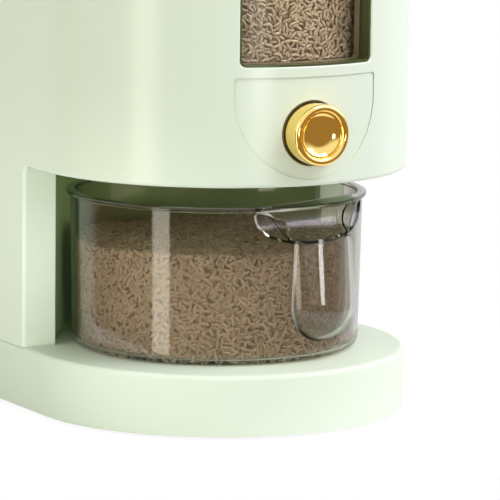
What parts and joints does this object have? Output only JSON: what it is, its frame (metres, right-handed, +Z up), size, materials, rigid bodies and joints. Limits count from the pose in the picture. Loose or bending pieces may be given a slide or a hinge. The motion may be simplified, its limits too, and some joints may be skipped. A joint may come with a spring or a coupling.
{
  "type": "rice dispenser",
  "caption": "Countertop rice dispenser: D-plan bin with front window and lid, gold push button that draws a gate to drop rice into a clear bowl standing in a niche below",
  "frame": {"origin": "centre of the bounding box, on the plane the feet stand on", "axes": "+Z up; -Y is the front, with the button, window and bowl; +X is to the right seen from the front"},
  "size_m": [0.1912, 0.3056, 0.3715],
  "materials": {
    "body_green": "pale mint green moulded plastic, satin gloss",
    "niche_green": "deeper green moulded plastic, satin",
    "white_plastic": "off-white food-safe plastic",
    "bin_grey": "dark warm-grey moulded plastic",
    "gold": "polished gold-coloured plating",
    "dark_trim": "dark bronze-coloured plastic",
    "smoky_clear": "clear smoky plastic",
    "clear_pane": "clear plastic window",
    "soft_rubber": "soft grey rubber",
    "olive_rubber": "dark olive window lining, slightly glossy",
    "bright_steel": "zinc-plated steel"
  },
  "bodies": {
    "housing": {"base_shell": "body_green", "base_cover": "body_green", "base_cover_screws": "bright_steel", "rubber_feet": "soft_rubber", "housing_shell": "body_green", "housing_screws": "bright_steel", "niche_back_wall": "niche_green", "niche_ceiling": "niche_green", "ceiling_screws": "bright_steel", "outlet_chute": "white_plastic", "gate_guide": "white_plastic", "gate_guide_screws": "bright_steel", "hopper": "bin_grey", "window_pane": "clear_pane", "window_gasket": "olive_rubber", "button_panel": "body_green", "button_bezel": "dark_trim", "stem_cup": "white_plastic", "stem_cup_screws": "bright_steel", "return_spring": "bright_steel", "top_collar": "body_green", "hinge_pins": "bright_steel"},
    "button": {"button_cap": "gold", "button_stem": "white_plastic", "lock_nut": "bright_steel", "gate_slide": "white_plastic"},
    "lid": {"lid_shell": "body_green", "lid_liner": "white_plastic", "lid_seal": "soft_rubber", "lid_screws": "bright_steel"},
    "bowl": {"serving_bowl": "smoky_clear"}
  },
  "joints": [
    {"name": "button_press", "type": "slide", "parent": "housing", "child": "button", "axis": [0, 1, 0], "range_m": [0, 0.0095], "stiffness_N_per_m": 700, "springref_m": -0.004, "deforming": ["return_spring"]},
    {"name": "lid_hinge", "type": "hinge", "parent": "housing", "child": "lid", "pos_m": [0, 0.1222, 0.3657], "axis": [-1, 0, 0], "range_deg": [0, 100]},
    {"name": "bowl_pull", "type": "slide", "parent": "housing", "child": "bowl", "axis": [0, -1, 0], "range_m": [0, 0.2]}
  ]
}
